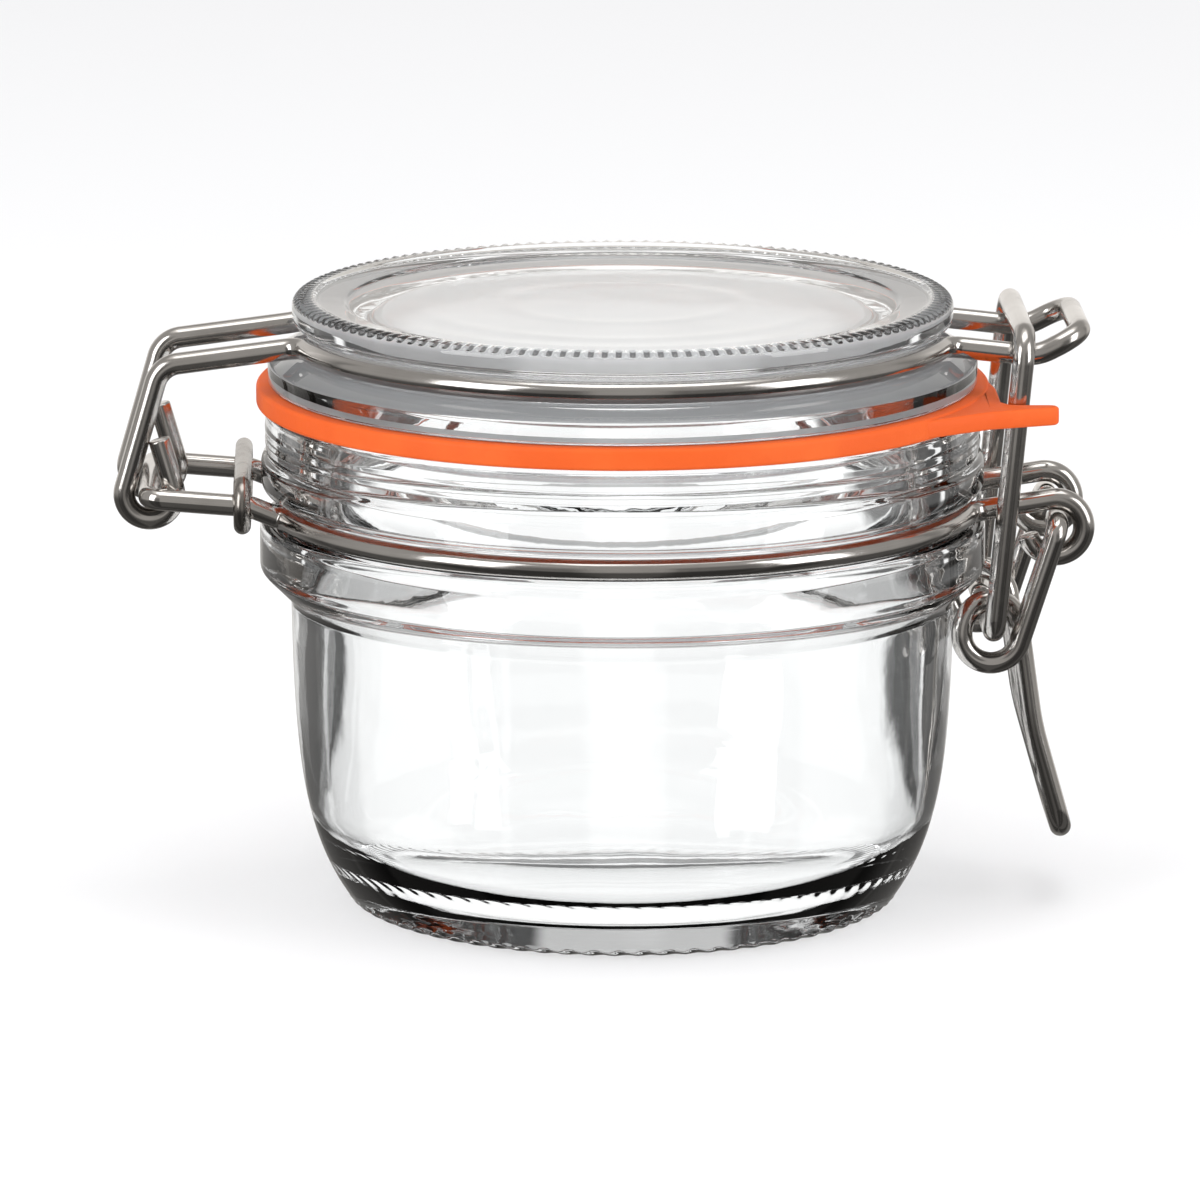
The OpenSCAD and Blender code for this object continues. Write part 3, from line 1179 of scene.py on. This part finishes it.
@dataclass
class Studio:
    """Pale floor, soft lamps, surroundings and the camera."""

    look_at: tuple[float, float, float] = (-0.0025, 0.0, 0.0335)
    azimuth: float = -1.6
    elevation: float = 12.0
    distance: float = 1.0
    lens: float = 270.0
    paper: tuple[float, float, float, float] = (0.9, 0.9, 0.905, 1.0)

    def camera(self) -> None:
        """Camera with a long lens, square on to the jar and a little above."""
        data = bpy.data.cameras.new("camera")
        data.lens, data.sensor_width, data.clip_start = self.lens, 36.0, 0.05
        side, up = math.radians(self.azimuth), math.radians(self.elevation)
        level = math.cos(up)
        away = Vector((math.sin(side) * level, -math.cos(side) * level, math.sin(up)))
        camera = bpy.data.objects.new("camera", data)
        camera.location = Vector(self.look_at) + away * self.distance
        camera.rotation_euler = away.to_track_quat("Z", "Y").to_euler()
        bpy.context.scene.collection.objects.link(camera)
        bpy.context.scene.camera = camera

    def floor(self) -> None:
        """Wide pale floor."""
        mesh = bpy.data.meshes.new("floor")
        corners = np.array([[-1, -1, 0], [1, -1, 0], [1, 1, 0], [-1, 1, 0]]) * 6.0
        mesh.from_pydata(corners.tolist(), [], [[0, 1, 2, 3]])
        paper = bpy.data.materials.new("paper")
        paper.use_nodes = True
        bench = Bench(paper.node_tree)
        body = bench.add("ShaderNodeBsdfDiffuse", None, {"Color": self.paper})
        bench.add("ShaderNodeOutputMaterial", None, {"Surface": body.outputs[0]})
        mesh.materials.append(paper)
        floor = bpy.data.objects.new("floor", mesh)
        bpy.context.scene.collection.objects.link(floor)
        floor.visible_transmission = False
        floor.visible_glossy = False

    def lamps(self) -> None:
        """Soft boxes left, right and above."""
        plan = [
            ("left_box", (-0.75, -0.55, 0.42), (0.45, 0.8), 4.2),
            ("right_box", (0.8, -0.45, 0.38), (0.4, 0.8), 3.6),
            ("top_box", (0.05, -0.1, 1.0), (0.7, 0.5), 2.0),
        ]
        for name, place, (wide, tall), power in plan:
            data = bpy.data.lights.new(name, "AREA")
            data.shape, data.energy = "RECTANGLE", power
            data.size, data.size_y = wide, tall
            lamp = bpy.data.objects.new(name, data)
            lamp.location = place
            aim = Vector(place) - Vector((0.0, 0.0, 0.035))
            lamp.rotation_euler = aim.to_track_quat("Z", "Y").to_euler()
            bpy.context.scene.collection.objects.link(lamp)

    def surroundings(self) -> None:
        """White room with dark gaps between its screens.

        Seen through glass it is white screens with gaps and a darker upper
        part, which draw the dark lines of the glass. Seen in steel it is a
        grey room with a pale far wall, a bright ceiling panel and a dark
        ground. Anything else is lit as by plain paper. The gaps are placed by
        y squared over (x squared + y squared), the squared sine of the
        azimuth, so that the room is the same on its left and right and in
        front and behind.
        """
        world = bpy.data.worlds.new("room")
        world.use_nodes = True
        bpy.context.scene.world = world
        bench = Bench(world.node_tree)
        place = bench.add("ShaderNodeTexCoord").outputs["Generated"]
        split = bench.add("ShaderNodeSeparateXYZ", None, {0: place})
        x, y, z = (bench.value(split, k) for k in range(3))
        turn = y * y / (x * x + y * y + 1e-6)
        slit = turn.step(0.46, 0.49) * turn.step(0.54, 0.51)
        gap = turn.step(0.12, 0.18) * turn.step(0.955, 0.93) * (1.0 - slit)
        level = z.step(-0.45, -0.33) * z.step(0.45, 0.3)
        up = z.step(0.02, 0.12) * (1.0 - z.step(0.5, 0.6) * z.step(0.9, 0.8))
        aside = turn.step(0.95, 0.7) * 0.35 + 0.5
        screens = (1.0 - gap * level * 0.92) * (1.0 - up * aside) * 1.14
        panel = z.step(0.86, 0.93) * 0.5
        wall = y.step(0.35, 0.7) * z.step(0.6, 0.3) * 0.6
        ground = z.step(-0.08, -0.3)
        room = 0.45 - gap * z.step(0.6, 0.3) * 0.26 + panel + wall
        grey = room * (1.0 - ground * 0.75)
        path = bench.add("ShaderNodeLightPath")
        looks = [
            ("Is Glossy Ray", grey, 0.97, 0.93),
            ("Is Transmission Ray", screens, 1.0, 0.995),
        ]
        plain = {"Color": self.paper, "Strength": 0.95}
        last = bench.add("ShaderNodeBackground", None, plain)
        for ray, light, green, blue in looks:
            shares = {0: light, 1: light * green, 2: light * blue}
            tone = bench.add("ShaderNodeCombineColor", None, shares)
            glow = {"Color": tone.outputs[0], "Strength": 1.0}
            seen = bench.add("ShaderNodeBackground", None, glow)
            links = {0: path.outputs[ray], 1: last.outputs[0], 2: seen.outputs[0]}
            last = bench.add("ShaderNodeMixShader", None, links)
        bench.add("ShaderNodeOutputWorld", None, {"Surface": last.outputs[0]})

    def set_up(self) -> None:
        """Builds the whole studio, with plain display colours."""
        self.camera()
        self.floor()
        self.lamps()
        self.surroundings()
        bpy.context.scene.view_settings.view_transform = "Standard"


def main() -> None:
    """Builds the studio and every piece in order, and logs each."""
    logging.basicConfig(level=logging.INFO, format="%(name)s: %(message)s")
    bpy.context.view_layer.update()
    Studio().set_up()
    glass = PressedGlass().material("pressed_glass")
    lid_light = 0.5
    # Painted shade: this glass darkens its colour in the valleys between the lid's 150
    # teeth.
    thick = PressedGlass(lamp_share=lid_light, teeth=(150, 35.5, 67.35))
    # Painted light: pale is a pale grey laid as colour on the hollow's roof, standing
    # in for the soft light that clear glass shows there.
    pale, grey = (0.86, 0.88, 0.9, 1.0), (0.3, 0.31, 0.32, 1.0)
    satin = PressedGlass(pale, lamp_share=lid_light, satin=0.2, clear=0.55)
    # Painted shade: grey is laid as a dark colour on the seat over the rubber, standing
    # in for the shade under the rim.
    seat_painted_shade = PressedGlass(grey, lamp_share=lid_light, satin=0.3, clear=0.25)
    lid_glasses = [
        thick.material("thick_glass_painted_tooth_shade"),
        satin.material("satin_glass_painted_pale_light"),
        seat_painted_shade.material("seat_glass_painted_shade"),
    ]
    rubber = MouldedRubber().material("moulded_rubber")
    steel = DrawnSteel().material("drawn_steel")
    clip_steel = DrawnSteel((0.36, 0.34, 0.32, 1.0), (0.24, 0.22, 0.2, 1.0), 0.22, 0.4)
    dull = clip_steel.material("clip_steel")
    made = [
        GlassBody().build(glass),
        GlassLid().build(lid_glasses),
        RubberRing().build(rubber),
    ]
    made += Hinge().build(steel, dull)
    made += Latch().build(steel)
    for piece in made:
        log.info("%s: %d faces", piece.name, len(piece.data.polygons))


if __name__ == "__main__":
    main()
